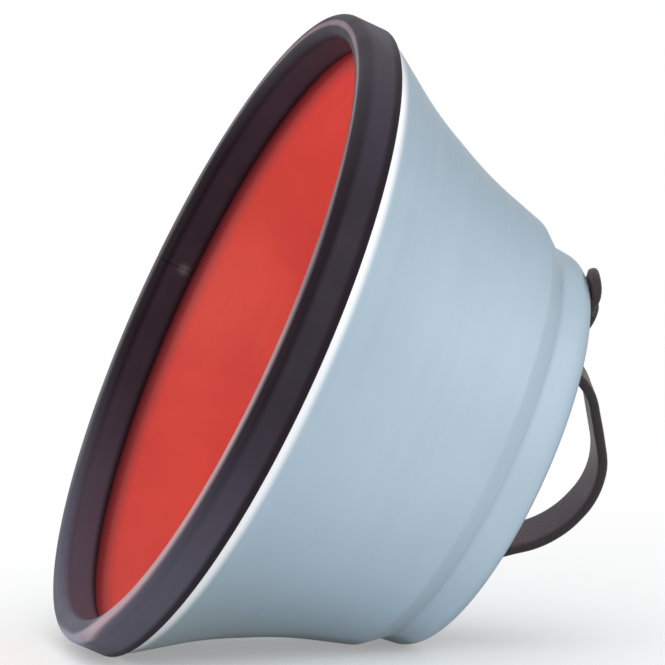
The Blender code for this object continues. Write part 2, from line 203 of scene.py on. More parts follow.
# Colours: a surface is mottled between the two of a pair
COAT = ((0.415, 0.53, 0.625), (0.455, 0.565, 0.655))
COAT_LINES = (0.48, 0.595, 0.685)
# painted shade on the coat low down
COAT_LOW_SHADE = (0.36, 0.44, 0.46)
# painted shade along the underside
COAT_UNDERSIDE_SHADE = (0.10, 0.10, 0.105)
# painted shade round the back's edge
COAT_BACK_EDGE_SHADE = (0.16, 0.20, 0.23)
# painted highlight on the lip
LIP_HIGHLIGHT = (0.92, 0.94, 0.97)
RED = ((0.66, 0.056, 0.042), (0.73, 0.070, 0.047))
# painted light on the red
RED_PAINTED_LIGHT = (0.82, 0.064, 0.052)
# painted shade on the red
RED_TRIM_SHADE = (0.10, 0.045, 0.062)
RUBBER = ((0.029, 0.022, 0.033), (0.041, 0.032, 0.045))
RUBBER_SHADE = (0.012, 0.006, 0.011)  # painted shade
# scuffs with painted sheen
RUBBER_SCUFF_AND_SHEEN = (0.145, 0.142, 0.198)
RUBBER_HIGHLIGHT = ((0.11, 0.10, 0.11), (0.48, 0.33, 0.36))  # where the painted highlight is weakest and strongest
RUBBER_HIGHLIGHT_OUTER = (0.34, 0.33, 0.42)
# rubbed pale, with a painted reflection of the floor
RUBBER_REST_WEAR_AND_REFLECTION = (0.32, 0.35, 0.44)
# painted glint at the joint
JOINT_GLINT = (0.13, 0.145, 0.145)
# painted light on the strap's inner face and painted shade on its outer one
LEATHER_INNER_LIT = ((0.094, 0.050, 0.058), (0.138, 0.082, 0.092))
LEATHER_OUTER_SHADED = ((0.020, 0.012, 0.015), (0.036, 0.023, 0.026))
LEATHER_RUBBED = (0.085, 0.052, 0.045)
LEATHER_EDGE = (0.010, 0.006, 0.008)
BLACKENED_STEEL = ((0.030, 0.027, 0.028), (0.10, 0.095, 0.095))
ZINC = ((0.52, 0.53, 0.55), (0.62, 0.62, 0.62))
NICKEL = ((0.60, 0.59, 0.57), (0.68, 0.67, 0.64))
FIBRE = ((0.16, 0.028, 0.014), (0.26, 0.06, 0.03))

NOISE_MIDDLE = (0.3, 0.7)  # most of a noise lies between these
METAL_MARKS = 600  # cells of noise in a metre

# Camera
CAMERA_AZIMUTH = math.radians(-13.2)
CAMERA_ELEVATION = math.radians(6.05)
CAMERA_DISTANCE = 1.1
CAMERA_LENS = 270.6  # mm, as the sensor's width
CAMERA_SENSOR = 36
CAMERA_CLIP = (0.05, 50)
TARGET_ALONG = 0.035  # the point looked past, on the axis from the mouth
TARGET_RIGHT = -0.00251  # from that point to the middle of the picture
TARGET_UP = 0.01202

# Studio
WORLD_STRENGTHS = (0.82, 1.0)  # for light on diffuse surfaces, and for what the camera sees
FLOOR_RADIUS = 6.0
FLOOR_STEPS = 96
FLOOR_FADE = (0.35, 1.2)  # from its middle, where the floor starts to fade out and where it is gone
FLOOR_COLOUR = (0.72, 0.72, 0.72, 1)
FLOOR_GLOW = 0.28
LAMP_AIM = (0, 0, 0.06)

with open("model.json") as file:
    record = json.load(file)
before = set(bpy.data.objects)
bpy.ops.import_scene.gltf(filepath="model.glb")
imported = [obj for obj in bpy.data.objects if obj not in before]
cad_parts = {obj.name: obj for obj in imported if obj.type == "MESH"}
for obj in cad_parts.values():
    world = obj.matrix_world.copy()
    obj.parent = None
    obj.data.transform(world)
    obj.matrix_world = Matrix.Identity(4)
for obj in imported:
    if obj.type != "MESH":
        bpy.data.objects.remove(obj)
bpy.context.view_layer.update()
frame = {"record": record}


def mute_matrix():
    """Where the mute's own frame lies, from the axis and the place of the record's mount on the back."""
    mount = next(m for m in frame["record"]["mounts"] if m["name"] == "back_face")
    axis = Vector(mount["axis"]).normalized()
    towards_viewer = Vector((0, -1, 0))
    up = towards_viewer.cross(axis)
    middle = Vector(mount["pos_m"])
    middle.y = 0
    origin = middle - axis * BACK_AT
    turn = Matrix((up, towards_viewer, axis)).transposed()
    return Matrix.Translation(origin) @ turn.to_4x4()


MUTE = mute_matrix()
STRAP_FRAME = MUTE @ Matrix.Rotation(STRAP_TURN, 4, "Z")


def rounded(corners):
    """A line of (x, y) points through corners (x, y, fillet), with an arc at each filleted corner."""
    points = []
    for index, (x, y, fillet) in enumerate(corners):
        here = Vector((x, y))
        if not fillet:
            points.append(here)
            continue
        before = Vector(corners[index - 1][:2]) - here
        after = Vector(corners[(index + 1) % len(corners)][:2]) - here
        turn = math.pi - before.angle(after)
        room = min(before.length, after.length) / 2
        radius = min(fillet, room / math.tan(turn / 2))
        step_angle = 2 * math.acos(max(1 - ARC_ERROR / radius, 0))
        steps = max(math.ceil(turn / step_angle), 2)
        start = here + before.normalized() * radius * math.tan(turn / 2)
        towards = (before.normalized() + after.normalized()).normalized()
        centre = here + towards * radius / math.cos(turn / 2)
        spoke = start - centre
        side = math.copysign(1, before.cross(after))
        for step in range(steps + 1):
            points.append(centre + Matrix.Rotation(-side * turn * step / steps, 2) @ spoke)
    return points


def inside_of(points, distance, closed=False):
    """The line moved by a distance to the right of its direction, with mitred corners."""
    moved = []
    for index, point in enumerate(points):
        normals = []
        for start, end in ((index - 1, index), (index, index + 1)):
            if closed or 0 <= start and end < len(points):
                along = (points[end % len(points)] - points[start]).normalized()
                normals.append(Vector((along.y, -along.x)))
        middle = sum(normals, Vector((0, 0))).normalized()
        moved.append(point + middle * distance / middle.dot(normals[0]))
    return moved


def bell_line():
    """The bell's outside from the middle of the back to the front of the lip, as (radius, along)."""
    return rounded([
        (0, BACK_AT, 0),
        (BACK_RADIUS, BACK_AT, BACK_FILLET),
        (TAIL_RADIUS, TAIL_AT, TAIL_FILLET),
        (STEP_RADIUS, STEP_AT, STEP_FILLET),
        (FLARE_LOWER_RADIUS, LIP_END + FLARE_LOWER_AT, FLARE_CURVE),
        (FLARE_UPPER_RADIUS, LIP_END + FLARE_UPPER_AT, FLARE_CURVE),
        (LIP_RADIUS, LIP_END, LIP_FILLET),
        (LIP_RADIUS, LIP_FRONT, 0),
    ])


def walled(line, wall):
    """A closed section from an open line that starts on the axis, and the wall inside it."""
    inner = inside_of(line, wall)
    inner[0].x = 0
    return line + inner[::-1]


def linked(name, data):
    """A new object in the scene."""
    made = bpy.data.objects.new(name, data)
    bpy.context.scene.collection.objects.link(made)
    return made


def shade(mesh):
    """Smooth shading with crisp edges."""
    mesh.shade_smooth()
    mesh.set_sharp_from_angle(angle=SHARP_ANGLE)


def finished(name, shape, matrix):
    """An object made from a bmesh, whose mesh is moved to its place and shaded."""
    mesh = bpy.data.meshes.new(name)
    shape.to_mesh(mesh)
    shape.free()
    mesh.transform(matrix)
    shade(mesh)
    return linked(name, mesh)


def lathe(name, section, steps, matrix, radius_scale=1.0):
    """A closed section of (radius, along) points turned round Z; points at radius 0 close on the axis."""
    shape = bmesh.new()
    rings = []
    for radius, along in section:
        if radius < ON_AXIS:
            rings.append([shape.verts.new((0, 0, along))] * steps)
            continue
        reach = radius * radius_scale
        ring = []
        for step in range(steps):
            angle = 2 * math.pi * (step + 0.5) / steps
            ring.append(shape.verts.new((reach * math.cos(angle), reach * math.sin(angle), along)))
        rings.append(ring)
    for index, ring in enumerate(rings):
        other = rings[(index + 1) % len(rings)]
        for step in range(steps):
            after = (step + 1) % steps
            unique = list(dict.fromkeys([ring[step], ring[after], other[after], other[step]]))
            if len(unique) > 2:
                shape.faces.new(unique)
    bmesh.ops.recalc_face_normals(shape, faces=shape.faces)
    return finished(name, shape, matrix)


def rod(name, radius, low, high, matrix, steps=SMALL_STEPS):
    """A plain round rod."""
    return lathe(name, [(0, high), (radius, high), (radius, low), (0, low)], steps, matrix)


def skin(shape, rings):
    """Faces between closed rings of the same number of points, one ring after another."""
    for ring, other in zip(rings, rings[1:]):
        for index in range(len(ring)):
            after = (index + 1) % len(ring)
            shape.faces.new((ring[index], ring[after], other[after], other[index]))


def combine(made, cutter, operation="DIFFERENCE"):
    """Cuts a helper from a piece or joins it to it, and removes the helper."""
    boolean = made.modifiers.new("boolean", "BOOLEAN")
    boolean.operation = operation
    boolean.object = cutter
    bpy.context.view_layer.update()
    graph = bpy.context.evaluated_depsgraph_get()
    mesh = bpy.data.meshes.new_from_object(made.evaluated_get(graph))
    made.modifiers.clear()
    made.data = mesh
    shade(mesh)
    bpy.data.objects.remove(cutter, do_unlink=True)


def dress(made, finish, slot, *nodes):
    """Gives a piece its material, hides the solids that it stands for, and fixes it to the mute."""
    made.data.materials.clear()
    made.data.materials.append(finish)
    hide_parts(*nodes)
    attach(made, "root")


def add_node(tree, kind, inputs=None, **settings):
    """A shader node. Each input takes a value or another node's output."""
    made = tree.nodes.new(kind)
    for name, value in settings.items():
        setattr(made, name, value)
    for key, value in (inputs or {}).items():
        if isinstance(value, bpy.types.NodeSocket):
            tree.links.new(value, made.inputs[key])
        else:
            made.inputs[key].default_value = value
    return made


def maths(tree, operation, *values):
    """One sum of shader numbers."""
    return add_node(tree, "ShaderNodeMath", dict(enumerate(values)), operation=operation).outputs[0]


def product(tree, first, second):
    """Two shader numbers multiplied."""
    return maths(tree, "MULTIPLY", first, second)


def spread(tree, value, low, high, to_low=0.0, to_high=1.0, smooth=True):
    """A number spread from one range to another, with soft ends."""
    kind = "SMOOTHSTEP" if smooth else "LINEAR"
    inputs = {"Value": value, "From Min": low, "From Max": high, "To Min": to_low, "To Max": to_high}
    return add_node(tree, "ShaderNodeMapRange", inputs, interpolation_type=kind).outputs["Result"]


def mixed(tree, share, first, second):
    """A colour between two colours."""
    made = add_node(tree, "ShaderNodeMix", data_type="RGBA")
    for socket, value in ((made.inputs[0], share), (made.inputs[6], first), (made.inputs[7], second)):
        if isinstance(value, bpy.types.NodeSocket):
            tree.links.new(value, socket)
        elif isinstance(value, tuple):
            socket.default_value = (*value, 1)
        else:
            socket.default_value = value
    return made.outputs[2]


def noise(tree, vector, scale, detail=2.0, roughness=0.5):
    """Cloudy noise about 0 to 1, whose scale is the number of cells in one unit of its vector."""
    inputs = {"Vector": vector, "Scale": scale, "Detail": detail, "Roughness": roughness}
    return add_node(tree, "ShaderNodeTexNoise", inputs).outputs["Fac"]


def new_material(name, **constants):
    """A Principled material whose constants are set on its own sockets."""
    made = bpy.data.materials.new(name)
    made.use_nodes = True
    shader = made.node_tree.nodes["Principled BSDF"]
    for socket, value in constants.items():
        shader.inputs[socket.replace("_", " ")].default_value = value
    return made, made.node_tree, shader


def feed(tree, shader, colour, roughness, height, depth, strength):
    """Links a material's colour, its roughness and the bump of a height to its shader."""
    inputs = {"Height": height, "Distance": depth, "Strength": strength}
    normal = add_node(tree, "ShaderNodeBump", inputs).outputs["Normal"]
    tree.links.new(colour, shader.inputs["Base Color"])
    tree.links.new(roughness, shader.inputs["Roughness"])
    tree.links.new(normal, shader.inputs["Normal"])


def place_in(tree, matrix):
    """The place in a frame of the mute's, in metres."""
    inputs = {"Location": matrix.to_translation(), "Rotation": matrix.to_euler()}
    inputs["Vector"] = add_node(tree, "ShaderNodeTexCoord").outputs["Object"]
    return add_node(tree, "ShaderNodeMapping", inputs, vector_type="TEXTURE").outputs[0]


MutePlace = namedtuple("MutePlace", "point up near along radius")


def place_on_mute(tree):
    """The place in the mute's frame: the point, its X, Y and Z there, and its distance from the axis."""
    point = place_in(tree, MUTE)
    up, near, along = add_node(tree, "ShaderNodeSeparateXYZ", {0: point}).outputs
    across = add_node(tree, "ShaderNodeCombineXYZ", {0: up, 1: near}).outputs[0]
    radius = add_node(tree, "ShaderNodeVectorMath", {0: across}, operation="LENGTH").outputs["Value"]
    return MutePlace(point, up, near, along, radius)


def turned_lines(tree, at, fineness, round_share, detail=2.0, roughness=0.5):
    """Noise with many cells in a metre of the profile and few round the axis, with no seam."""
    profile = maths(tree, "SUBTRACT", at.along, at.radius)
    cosine = maths(tree, "DIVIDE", at.up, at.radius)
    sine = maths(tree, "DIVIDE", at.near, at.radius)
    vector = add_node(tree, "ShaderNodeCombineXYZ", {
        0: product(tree, profile, fineness),
        1: product(tree, cosine, round_share),
        2: product(tree, sine, round_share),
    }).outputs[0]
    return noise(tree, vector, 1.0, detail, roughness)


def bell_material():
    """Satin aluminium under a thin blue-grey coat, with spinning lines.

    It has painted shade low down, along its underside and round its back's edge, and a painted highlight
    on its smoother lip.
    """
    made, tree, shader = new_material("satin_bell", Metallic=0.92, Specular_Tint=(0.60, 0.59, 0.58, 1))
    at = place_on_mute(tree)
    lines = turned_lines(tree, at, fineness=2600, round_share=1.5, detail=3, roughness=0.6)
    broad_lines = turned_lines(tree, at, fineness=260, round_share=1.0)
    clouds = noise(tree, at.point, scale=28, detail=3)
    coat = mixed(tree, spread(tree, clouds, *NOISE_MIDDLE), *COAT)
    coat = mixed(tree, spread(tree, broad_lines, 0.35, 0.65, to_high=0.25), coat, COAT_LINES)
    # painted shade low down on the bell
    coat = mixed(tree, spread(tree, at.up, *BELL_LOW_SHADE_HEIGHTS, to_high=0.85), coat, COAT_LOW_SHADE)
    # painted shade along the bell's underside
    cosine = maths(tree, "DIVIDE", at.up, at.radius)
    coat = mixed(tree, spread(tree, cosine, *UNDERSIDE_COSINES, to_high=0.75), coat, COAT_UNDERSIDE_SHADE)
    # painted shade in a ring round the back's edge
    back_shade = product(
        tree,
        spread(tree, at.along, *BACK_SHADE_DEPTHS, to_high=0.45),
        spread(tree, at.radius, *BACK_SHADE_RADII),
    )
    coat = mixed(tree, back_shade, coat, COAT_BACK_EDGE_SHADE)
    # a painted highlight along the lip, which is also a little smoother
    lip_polish_and_highlight = spread(tree, at.along, LIP_END - LIP_HIGHLIGHT_BLEND, LIP_END + LIP_HIGHLIGHT_BLEND / 2, 1, 0)
    colour = mixed(tree, lip_polish_and_highlight, coat, LIP_HIGHLIGHT)
    roughness = spread(tree, lines, *NOISE_MIDDLE, 0.36, 0.44)
    roughness = maths(tree, "ADD", roughness, product(tree, lip_polish_and_highlight, -0.1))
    height = maths(tree, "ADD", product(tree, lines, 0.4), broad_lines)
    feed(tree, shader, colour, roughness, height, depth=0.00002, strength=0.5)
    return made


def lining_material():
    """Satin red, with painted light above and painted shade beside the rubber, with the spinning lines
    faint through it.
    """
    made, tree, shader = new_material("red_inside", Specular_IOR_Level=0.2)
    at = place_on_mute(tree)
    lines = turned_lines(tree, at, fineness=900, round_share=1.2)
    clouds = noise(tree, at.point, scale=45, detail=3)
    colour = mixed(tree, spread(tree, clouds, *NOISE_MIDDLE), *RED)
    # painted light on the red high up
    colour = mixed(tree, spread(tree, at.up, *RED_LIGHT_HEIGHTS), colour, RED_PAINTED_LIGHT)
    # painted shade on the red beside the rubber
    colour = mixed(tree, spread(tree, at.along, *RED_TRIM_SHADE_DEPTHS, to_high=0.9), colour, RED_TRIM_SHADE)
    roughness = spread(tree, lines, *NOISE_MIDDLE, 0.42, 0.52)
    height = maths(tree, "ADD", noise(tree, at.point, scale=900), lines)
    feed(tree, shader, colour, roughness, height, depth=0.00002, strength=0.4)
    return made


def highlight_line(tree, at, bloom):
    """How much of the painted highlight along the trim's nose is seen at a place, and its colour there."""
    crossing = product(
        tree,
        spread(tree, at.near, *CROSSING_SIDES),
        spread(tree, at.up, *CROSSING_HEIGHTS),
    )
    line_radius = spread(tree, crossing, 0, 1, TRIM_INSIDE + HIGHLIGHT_LINE_INSET, TRIM_OUTSIDE, smooth=False)
    from_line = maths(tree, "ABSOLUTE", maths(tree, "SUBTRACT", at.radius, line_radius))
    width = spread(tree, at.up, *THINNER_LINE_HEIGHTS, 1.0, THINNER_LINE_SHARE)
    line = product(
        tree,
        spread(tree, maths(tree, "DIVIDE", from_line, width), *HIGHLIGHT_LINE_REACH),
        spread(tree, at.along, *HIGHLIGHT_LINE_DEPTHS),
    )
    line = product(tree, line, spread(tree, bloom, 0.2, 0.8, 1.0, 0.75))
    paler = product(
        tree,
        spread(tree, at.up, *PALER_LOW_HEIGHTS),
        spread(tree, at.near, *PALER_SIDES),
    )
    paler = maths(tree, "MAXIMUM", paler, spread(tree, at.up, *PALER_HIGH_HEIGHTS, to_high=0.35))
    colour = mixed(tree, paler, *RUBBER_HIGHLIGHT)
    return line, mixed(tree, product(tree, crossing, paler), colour, RUBBER_HIGHLIGHT_OUTER)


def rubber_material():
    """Smooth black rubber with faint draw lines and a slight bloom.

    It has painted shade at its nose and rear edge, scuffs and painted sheen low and high, a painted
    highlight along its nose, a rubbed edge with a painted reflection where it lies, and a painted glint at
    its joint.
    """
    made, tree, shader = new_material("black_rubber", Specular_IOR_Level=0.12)
    at = place_on_mute(tree)
    lines = turned_lines(tree, at, fineness=3000, round_share=1.0)
    bloom = noise(tree, at.point, scale=60, detail=4, roughness=0.6)
    colour = mixed(tree, spread(tree, bloom, 0.35, 0.75), *RUBBER)
    # painted shade towards the nose
    colour = mixed(tree, spread(tree, at.along, *NOSE_SHADE_DEPTHS), colour, RUBBER_SHADE)
    # scuffs and painted sheen low down and high up
    scuffs_and_sheen = maths(
        tree, "ADD",
        spread(tree, at.up, *RUBBER_LOW_SCUFF_AND_SHEEN, to_high=0.62),
        spread(tree, at.up, *RUBBER_HIGH_SCUFF_AND_SHEEN, to_high=0.15),
    )
    colour = mixed(tree, scuffs_and_sheen, colour, RUBBER_SCUFF_AND_SHEEN)
    # painted shade at the rear edge
    colour = mixed(tree, spread(tree, at.along, *REAR_SHADE_DEPTHS, to_high=0.9), colour, RUBBER_SHADE)
    # a painted highlight along the nose
    line, highlight_colour = highlight_line(tree, at, bloom)
    colour = mixed(tree, line, colour, highlight_colour)
    # rubbed pale edge with a painted reflection of the floor
    rest = product(
        tree,
        spread(tree, at.up, *REST_HEIGHTS),
        spread(tree, at.along, *REST_DEPTHS, to_high=0.9),
    )
    colour = mixed(tree, rest, colour, RUBBER_REST_WEAR_AND_REFLECTION)
    # a painted glint at the trim's joint
    joint = Matrix.Rotation(TRIM_JOINT_ANGLE, 4, "Z") @ Vector((TRIM_INSIDE, 0, JOINT_GLINT_DEPTH))
    ends = {0: at.point, 1: joint}
    away = add_node(tree, "ShaderNodeVectorMath", ends, operation="DISTANCE").outputs["Value"]
    ragged = maths(tree, "ADD", away, product(tree, bloom, JOINT_GLINT_RAGGEDNESS))
    colour = mixed(tree, spread(tree, ragged, JOINT_GLINT_RADIUS, 0), colour, JOINT_GLINT)
    roughness = spread(tree, bloom, *NOISE_MIDDLE, 0.50, 0.62)
    grain = noise(tree, at.point, scale=2500)
    height = maths(tree, "ADD", product(tree, grain, 0.5), lines)
    feed(tree, shader, colour, roughness, height, depth=0.00003, strength=0.35)
    return made


def leather_material():
    """Waxed leather with pores and dark edges, with painted light on its inner face and painted shade
    outside.
    """
    made, tree, shader = new_material("dark_leather", Specular_IOR_Level=0.45)
    point = place_in(tree, STRAP_FRAME)
    strap_map = add_node(tree, "ShaderNodeUVMap", uv_map="strap").outputs[0]
    outward = add_node(tree, "ShaderNodeSeparateXYZ", {0: strap_map}).outputs[1]
    cells = {"Vector": point, "Scale": 1500.0}
    pores = add_node(tree, "ShaderNodeTexVoronoi", cells, feature="SMOOTH_F1").outputs["Distance"]
    wrinkles = noise(tree, point, scale=700, detail=4, roughness=0.6)
    clouds = noise(tree, point, scale=120, detail=3)
    mottle = spread(tree, clouds, *NOISE_MIDDLE)
    # lit and shaded copies of the leather: painted light inside, painted shade outside
    inner = mixed(tree, mottle, *LEATHER_INNER_LIT)
    outer = mixed(tree, mottle, *LEATHER_OUTER_SHADED)
    rubbed = product(tree, spread(tree, wrinkles, 0.50, 0.72), spread(tree, clouds, 0.35, 0.65))
    outer = mixed(tree, product(tree, rubbed, 0.6), outer, LEATHER_RUBBED)
    colour = mixed(tree, spread(tree, outward, *OUTER_FACE_SHARES), inner, outer)
    edge = product(
        tree,
        spread(tree, outward, *EDGE_SHARES_INNER),
        spread(tree, outward, *EDGE_SHARES_OUTER),
    )
    colour = mixed(tree, product(tree, edge, 0.85), colour, LEATHER_EDGE)
    roughness = spread(tree, clouds, *NOISE_MIDDLE, 0.48, 0.60)
    roughness = maths(tree, "ADD", roughness, product(tree, edge, -0.1))
    height = maths(tree, "ADD", pores, wrinkles)
    feed(tree, shader, colour, roughness, height, depth=0.00016, strength=0.8)
    return made


def metal_material(name, colours, roughness, metallic):
    """A small turned metal part, a little lighter where it is worn."""
    made, tree, shader = new_material(name, Metallic=metallic)
    point = add_node(tree, "ShaderNodeTexCoord").outputs["Object"]
    marks = noise(tree, point, scale=METAL_MARKS, detail=4, roughness=0.65)
    grain = noise(tree, point, scale=METAL_MARKS * 4)
    colour = mixed(tree, spread(tree, marks, 0.4, 0.75), *colours)
    dullness = spread(tree, marks, *NOISE_MIDDLE, roughness, roughness + 0.12)
    feed(tree, shader, colour, dullness, grain, depth=0.00001, strength=0.4)
    return made


def fibre_material():
    """Red-brown pressed fibre."""
    made, tree, shader = new_material("pressed_fibre")
    point = add_node(tree, "ShaderNodeTexCoord").outputs["Object"]
    specks = noise(tree, point, scale=1800, detail=4, roughness=0.7)
    roughness = spread(tree, specks, *NOISE_MIDDLE, 0.7, 0.85)
    feed(tree, shader, mixed(tree, specks, *FIBRE), roughness, specks, depth=0.00005, strength=0.5)
    return made


def screw_holes(made):
    """Drills both screws' holes through a piece."""
    for side in (1, -1):
        where = STRAP_FRAME @ Matrix.Translation((side * SCREW_REACH, 0, 0))
        combine(made, rod("drill", BORE_RADIUS, BACK_AT - DRILL_REACH, BACK_AT + DRILL_REACH, where))


def make_bell():
    """The spun bell."""
    bell = lathe("bell", walled(bell_line(), BELL_WALL), BELL_STEPS, MUTE, ROUND)
    screw_holes(bell)
    dress(bell, bell_material(), "bell", "bell_shell")


def make_lining():
    """The red inside."""
    line = inside_of(bell_line(), BELL_WALL + GAP)
    line[0].x = 0
    lining = lathe("red_lining", walled(line, LINING_WALL), BELL_STEPS, MUTE, ROUND)
    screw_holes(lining)
    dress(lining, lining_material(), "lining", "bell_lining")


def trim_section():
    """The rubber channel's section as (radius, along): down its outside, round the nose and up inside."""
    return rounded([
        (TRIM_OUTSIDE, TRIM_OUTER_DEPTH, TRIM_EDGE_FILLET),
        (TRIM_OUTSIDE, 0, TRIM_NOSE_FILLET),
        (TRIM_INSIDE, 0, TRIM_NOSE_FILLET),
        (TRIM_INSIDE, TRIM_INNER_DEPTH, TRIM_EDGE_FILLET),
        (LINED_LIP_RADIUS - GAP, TRIM_INNER_DEPTH, 0),
        (LINED_LIP_RADIUS - GAP, TRIM_NOSE, 0),
        (LIP_RADIUS + GAP, TRIM_NOSE, 0),
        (LIP_RADIUS + GAP, TRIM_OUTER_DEPTH, 0),
    ])


def trim_turns():
    """The trim's sections and their angles, from one end at its butt joint to the other, both rounded."""
    section = trim_section()
    half_gap = TRIM_JOINT_WIDTH / 2 / LIP_RADIUS
    first = TRIM_JOINT_ANGLE + half_gap
    last = TRIM_JOINT_ANGLE + 2 * math.pi - half_gap
    ends = []
    for step in range(TRIM_END_STEPS):
        turn = math.pi / 2 * step / TRIM_END_STEPS
        inset = TRIM_END_FILLET * (1 - math.sin(turn))
        angle = TRIM_END_FILLET * (1 - math.cos(turn)) / LIP_RADIUS
        ends.append((angle, inside_of(section, inset, closed=True)))
    turned = [(first + angle, points) for angle, points in ends]
    end_angle = TRIM_END_FILLET / LIP_RADIUS
    for step in range(BELL_STEPS + 1):
        share = step / BELL_STEPS
        turned.append((first + end_angle + (last - first - 2 * end_angle) * share, section))
    return turned + [(last - angle, points) for angle, points in reversed(ends)]


def make_trim():
    """The rubber channel, swept round the lip."""
    shape = bmesh.new()
    rings = []
    for angle, points in trim_turns():
        cosine = math.cos(angle) * ROUND
        sine = math.sin(angle) * ROUND
        spots = [(radius * cosine, radius * sine, along) for radius, along in points]
        rings.append([shape.verts.new(spot) for spot in spots])
    skin(shape, rings)
    shape.faces.new(rings[0])
    shape.faces.new(rings[-1])
    bmesh.ops.recalc_face_normals(shape, faces=shape.faces)
    dress(finished("rubber_trim", shape, MUTE), rubber_material(), "trim", "rim_trim")


def strap_line():
    """The strap's underside from its lower tip to its upper one, as (reach, height over its feet)."""
    droop_reach = STRAP_TIP_REACH + STRAP_OVERHANG - STRAP_DROOP_LENGTH * math.cos(STRAP_DROOP)
    return rounded([
        (-STRAP_TIP_REACH, 0, 0),
        (-STRAP_BEND_REACH, 0, STRAP_BEND_FILLET),
        (STRAP_SHOULDER_REACH, STRAP_SHOULDER_HEIGHT, STRAP_SHOULDER_FILLET),
        (STRAP_CROWN_REACH, STRAP_CROWN_HEIGHT, STRAP_CROWN_FILLET),
        (STRAP_BEND_REACH - STRAP_KNEE_INSET, STRAP_KNEE_HEIGHT, STRAP_KNEE_FILLET),
        (STRAP_BEND_REACH, 0, STRAP_BEND_FILLET),
        (droop_reach, 0, STRAP_DROOP_FILLET),
        (STRAP_TIP_REACH + STRAP_OVERHANG, -STRAP_DROOP_LENGTH * math.sin(STRAP_DROOP), 0),
    ])


def strap_stations():
    """Places along the strap's underside, as (point, direction, way from the nearer tip)."""
    line = strap_line()
    ways = [0.0]
    for start, end in zip(line, line[1:]):
        ways.append(ways[-1] + (end - start).length)
    length = ways[-1]
    radius = STRAP_WIDTH / 2
    tip_angles = [math.pi / 2 * step / STRAP_TIP_STEPS for step in range(STRAP_TIP_STEPS)]
    tip = [radius * (1 - math.cos(angle)) for angle in tip_angles]
    middle = [radius + (length - 2 * radius) * step / STRAP_STEPS for step in range(STRAP_STEPS + 1)]
    chosen = tip + middle + [length - way for way in reversed(tip)]
    points = []
    for way in chosen:
        index = min(max(bisect.bisect_left(ways, way), 1), len(line) - 1)
        share = (way - ways[index - 1]) / (ways[index] - ways[index - 1])
        points.append(line[index - 1].lerp(line[index], share))
    stations = []
    for index, (point, way) in enumerate(zip(points, chosen)):
        along = points[min(index + 1, len(points) - 1)] - points[max(index - 1, 0)]
        stations.append((point, along.normalized(), min(way, length - way)))
    return stations


def smooth_step(value, low, high):
    """0 below a range, 1 above it and a smooth rise between."""
    share = min(max((value - low) / (high - low), 0), 1)
    return share * share * (3 - 2 * share)


def leather_dips(reach, across):
    """How far the strap's outer face dips below its smooth shape, at its screws and in its wrinkles."""
    depth = 0.0
    for side in (1, -1):
        from_screw = math.hypot(reach - side * SCREW_REACH, across)
        depth += STRAP_DIMPLE * (1 - smooth_step(from_screw, DIMPLE_FLAT, DIMPLE_REACH))
        from_bend = reach - side * (STRAP_BEND_REACH + WRINKLE_REACH / 2)
        near = 1 - smooth_step(abs(from_bend), WRINKLE_REACH / 2, WRINKLE_REACH)
        waver = noise_at(Vector((side, across / STRAP_WIDTH * WRINKLE_WAVER_CELLS, 0)))
        wave = math.cos(2 * math.pi * from_bend / WRINKLE_SPACING + WRINKLE_WAVER * waver)
        depth += WRINKLE_DEPTH * near * (1 + wave) / 2
    return depth


def make_strap():
    """The leather strap: a round-ended band with worn edges, dimples at its screws and wrinkled bends."""
    radius = STRAP_WIDTH / 2
    shape = bmesh.new()
    strap_map = shape.loops.layers.uv.new("strap")
    places = {}
    tops = []
    bottoms = []
    for index, (point, along, way) in enumerate(strap_stations()):
        out = Vector((-along.y, along.x))
        half = math.sqrt(max(radius ** 2 - (radius - min(way, radius)) ** 2, 0))
        top = []
        bottom = []
        for column in range(STRAP_COLUMNS + 1):
            across = half * math.sin(math.pi * (column / STRAP_COLUMNS - 0.5))
            inward = radius - math.hypot(max(radius - way, 0), across)
            rim = max(1 - inward / STRAP_EDGE_ROUND, 0)
            fullness = max(1 - rim ** STRAP_EDGE_POWER, 0) ** (1 / STRAP_EDGE_POWER)
            swell = LEATHER_SWELL * noise_at(Vector((point.x, across, point.y)) * LEATHER_SWELL_CELLS)
            low = STRAP_THICKNESS / 2 * (1 - fullness)
            high = STRAP_THICKNESS / 2 * (1 + fullness)
            high -= (leather_dips(point.x, across) + LEATHER_SWELL + swell) * fullness
            for row, height, share in ((top, high, (1 + fullness) / 2), (bottom, low, (1 - fullness) / 2)):
                if row is bottom and fullness == 0:
                    row.append(top[-1])
                    continue
                spot = point + out * height
                vertex = shape.verts.new((spot.x, across, BACK_AT + GAP + spot.y))
                places[vertex] = (index / STRAP_STEPS, share)
                row.append(vertex)
        tops.append(top)
        bottoms.append(bottom)
    for rows in (tops, bottoms):
        for row, other in zip(rows, rows[1:]):
            for column in range(STRAP_COLUMNS):
                corners = [row[column], row[column + 1], other[column + 1], other[column]]
                shape.faces.new(list(dict.fromkeys(corners)))
    bmesh.ops.remove_doubles(shape, verts=shape.verts, dist=WELD_DISTANCE)
    bmesh.ops.recalc_face_normals(shape, faces=shape.faces)
    for face in shape.faces:
        for loop in face.loops:
            loop[strap_map].uv = places[loop.vert]
    strap = finished("leather_strap", shape, STRAP_FRAME)
    screw_holes(strap)
    dress(strap, leather_material(), "strap", "hand_strap")


